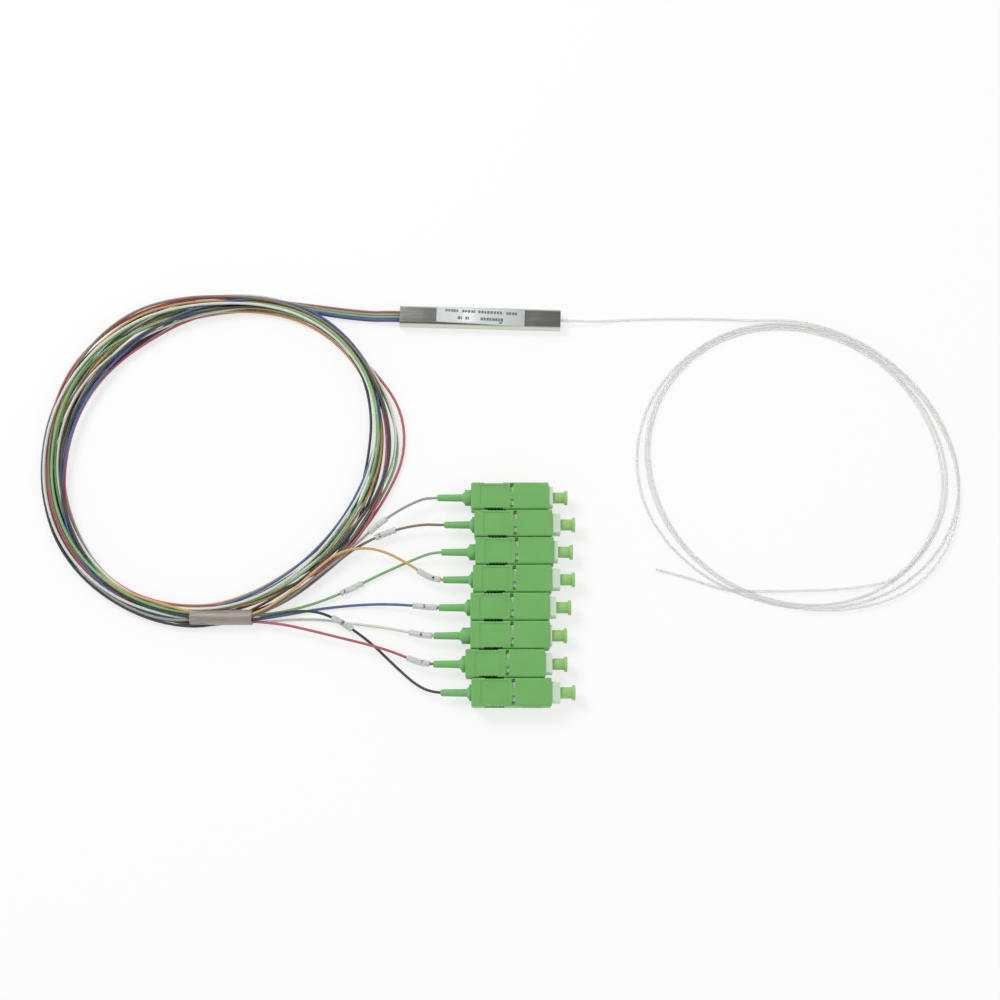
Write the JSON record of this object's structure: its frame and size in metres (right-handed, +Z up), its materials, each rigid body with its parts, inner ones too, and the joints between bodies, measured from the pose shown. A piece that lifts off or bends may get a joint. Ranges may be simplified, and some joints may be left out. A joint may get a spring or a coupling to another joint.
{
  "type": "plc fibre splitter",
  "caption": "Steel-cased optical fibre splitter: a bare-ended input tail in a coil, and coloured output tails that share a coil and end in green square push-pull plugs with dust caps.",
  "frame": {"origin": "middle of the module's underside, on the plane that everything lies on", "axes": "+X along the module from its outputs to its input, +Y away from the plugs, +Z up"},
  "size_m": [0.3071, 0.1412, 0.008],
  "materials": {
    "steel": "satin",
    "label": "matt",
    "potting": "satin",
    "glass": "polished",
    "ribbon": "gloss",
    "grip_green": "satin",
    "frame_white": "satin",
    "zirconia": "polished",
    "cap_green": "satin",
    "boot_green": "satin",
    "rear_metal": "satin",
    "spring_steel": "bright",
    "output_tubing": "satin",
    "clear_sleeve": "gloss",
    "input_tubing": "satin"
  },
  "bodies": {
    "splitter": {"module_tube": "steel", "module_label": "label", "input_seal": "potting", "output_seal": "potting", "waveguide_chip": "glass", "output_fibre_block": "glass", "input_fibre_block": "glass", "output_ribbon": "ribbon", "input_fibre": "ribbon", "plug_frame_1": "frame_white", "boot_1": "boot_green", "plug_frame_2": "frame_white", "boot_2": "boot_green", "plug_frame_3": "frame_white", "boot_3": "boot_green", "plug_frame_4": "frame_white", "boot_4": "boot_green", "plug_frame_5": "frame_white", "boot_5": "boot_green", "plug_frame_6": "frame_white", "boot_6": "boot_green", "plug_frame_7": "frame_white", "boot_7": "boot_green", "plug_frame_8": "frame_white", "boot_8": "boot_green", "rear_bodies": "rear_metal", "ferrule_springs": "spring_steel", "output_tails": "output_tubing", "marker_sleeves": "clear_sleeve", "output_leads": "output_tubing", "output_coil": "output_tubing", "input_coil": "input_tubing", "coil_sleeve": "clear_sleeve", "input_lead": "input_tubing", "input_tail": "input_tubing"},
    "grip_1": {"grip_1": "grip_green"},
    "ferrule_1": {"ferrule_1": "zirconia"},
    "dust_cap_1": {"dust_cap_1": "cap_green"},
    "grip_2": {"grip_2": "grip_green"},
    "ferrule_2": {"ferrule_2": "zirconia"},
    "dust_cap_2": {"dust_cap_2": "cap_green"},
    "grip_3": {"grip_3": "grip_green"},
    "ferrule_3": {"ferrule_3": "zirconia"},
    "dust_cap_3": {"dust_cap_3": "cap_green"},
    "grip_4": {"grip_4": "grip_green"},
    "ferrule_4": {"ferrule_4": "zirconia"},
    "dust_cap_4": {"dust_cap_4": "cap_green"},
    "grip_5": {"grip_5": "grip_green"},
    "ferrule_5": {"ferrule_5": "zirconia"},
    "dust_cap_5": {"dust_cap_5": "cap_green"},
    "grip_6": {"grip_6": "grip_green"},
    "ferrule_6": {"ferrule_6": "zirconia"},
    "dust_cap_6": {"dust_cap_6": "cap_green"},
    "grip_7": {"grip_7": "grip_green"},
    "ferrule_7": {"ferrule_7": "zirconia"},
    "dust_cap_7": {"dust_cap_7": "cap_green"},
    "grip_8": {"grip_8": "grip_green"},
    "ferrule_8": {"ferrule_8": "zirconia"},
    "dust_cap_8": {"dust_cap_8": "cap_green"}
  },
  "joints": [
    {"name": "grip_slide_1", "type": "slide", "parent": "splitter", "child": "grip_1", "axis": [1, 0, 0], "range_m": [-0.0015, 0.0007]},
    {"name": "ferrule_push_1", "type": "slide", "parent": "splitter", "child": "ferrule_1", "axis": [-1, 0, 0], "range_m": [0, 0.001], "stiffness_N_per_m": 2500, "springref_m": -0.003, "deforming": ["ferrule_springs"]},
    {"name": "cap_pull_1", "type": "slide", "parent": "ferrule_1", "child": "dust_cap_1", "axis": [1, 0, 0], "range_m": [0, 0.008]},
    {"name": "grip_slide_2", "type": "slide", "parent": "splitter", "child": "grip_2", "axis": [1, 0, 0], "range_m": [-0.0002, 0.002]},
    {"name": "ferrule_push_2", "type": "slide", "parent": "splitter", "child": "ferrule_2", "axis": [-1, 0, 0], "range_m": [0, 0.001], "stiffness_N_per_m": 2500, "springref_m": -0.003, "deforming": ["ferrule_springs"]},
    {"name": "cap_pull_2", "type": "slide", "parent": "ferrule_2", "child": "dust_cap_2", "axis": [1, 0, 0], "range_m": [0, 0.008]},
    {"name": "grip_slide_3", "type": "slide", "parent": "splitter", "child": "grip_3", "axis": [1, 0, 0], "range_m": [-0.00145, 0.00075]},
    {"name": "ferrule_push_3", "type": "slide", "parent": "splitter", "child": "ferrule_3", "axis": [-1, 0, 0], "range_m": [0, 0.001], "stiffness_N_per_m": 2500, "springref_m": -0.003, "deforming": ["ferrule_springs"]},
    {"name": "cap_pull_3", "type": "slide", "parent": "ferrule_3", "child": "dust_cap_3", "axis": [1, 0, 0], "range_m": [0, 0.008]},
    {"name": "grip_slide_4", "type": "slide", "parent": "splitter", "child": "grip_4", "axis": [1, 0, 0], "range_m": [-0.0001, 0.0021]},
    {"name": "ferrule_push_4", "type": "slide", "parent": "splitter", "child": "ferrule_4", "axis": [-1, 0, 0], "range_m": [0, 0.001], "stiffness_N_per_m": 2500, "springref_m": -0.003, "deforming": ["ferrule_springs"]},
    {"name": "cap_pull_4", "type": "slide", "parent": "ferrule_4", "child": "dust_cap_4", "axis": [1, 0, 0], "range_m": [0, 0.008]},
    {"name": "grip_slide_5", "type": "slide", "parent": "splitter", "child": "grip_5", "axis": [1, 0, 0], "range_m": [-0.00065, 0.00155]},
    {"name": "ferrule_push_5", "type": "slide", "parent": "splitter", "child": "ferrule_5", "axis": [-1, 0, 0], "range_m": [0, 0.001], "stiffness_N_per_m": 2500, "springref_m": -0.003, "deforming": ["ferrule_springs"]},
    {"name": "cap_pull_5", "type": "slide", "parent": "ferrule_5", "child": "dust_cap_5", "axis": [1, 0, 0], "range_m": [0, 0.008]},
    {"name": "grip_slide_6", "type": "slide", "parent": "splitter", "child": "grip_6", "axis": [1, 0, 0], "range_m": [-0.00215, 0.00005]},
    {"name": "ferrule_push_6", "type": "slide", "parent": "splitter", "child": "ferrule_6", "axis": [-1, 0, 0], "range_m": [0, 0.001], "stiffness_N_per_m": 2500, "springref_m": -0.003, "deforming": ["ferrule_springs"]},
    {"name": "cap_pull_6", "type": "slide", "parent": "ferrule_6", "child": "dust_cap_6", "axis": [1, 0, 0], "range_m": [0, 0.008]},
    {"name": "grip_slide_7", "type": "slide", "parent": "splitter", "child": "grip_7", "axis": [1, 0, 0], "range_m": [-0.0006, 0.0016]},
    {"name": "ferrule_push_7", "type": "slide", "parent": "splitter", "child": "ferrule_7", "axis": [-1, 0, 0], "range_m": [0, 0.001], "stiffness_N_per_m": 2500, "springref_m": -0.003, "deforming": ["ferrule_springs"]},
    {"name": "cap_pull_7", "type": "slide", "parent": "ferrule_7", "child": "dust_cap_7", "axis": [1, 0, 0], "range_m": [0, 0.008]},
    {"name": "grip_slide_8", "type": "slide", "parent": "splitter", "child": "grip_8", "axis": [1, 0, 0], "range_m": [-0.0001, 0.0021]},
    {"name": "ferrule_push_8", "type": "slide", "parent": "splitter", "child": "ferrule_8", "axis": [-1, 0, 0], "range_m": [0, 0.001], "stiffness_N_per_m": 2500, "springref_m": -0.003, "deforming": ["ferrule_springs"]},
    {"name": "cap_pull_8", "type": "slide", "parent": "ferrule_8", "child": "dust_cap_8", "axis": [1, 0, 0], "range_m": [0, 0.008]}
  ]
}
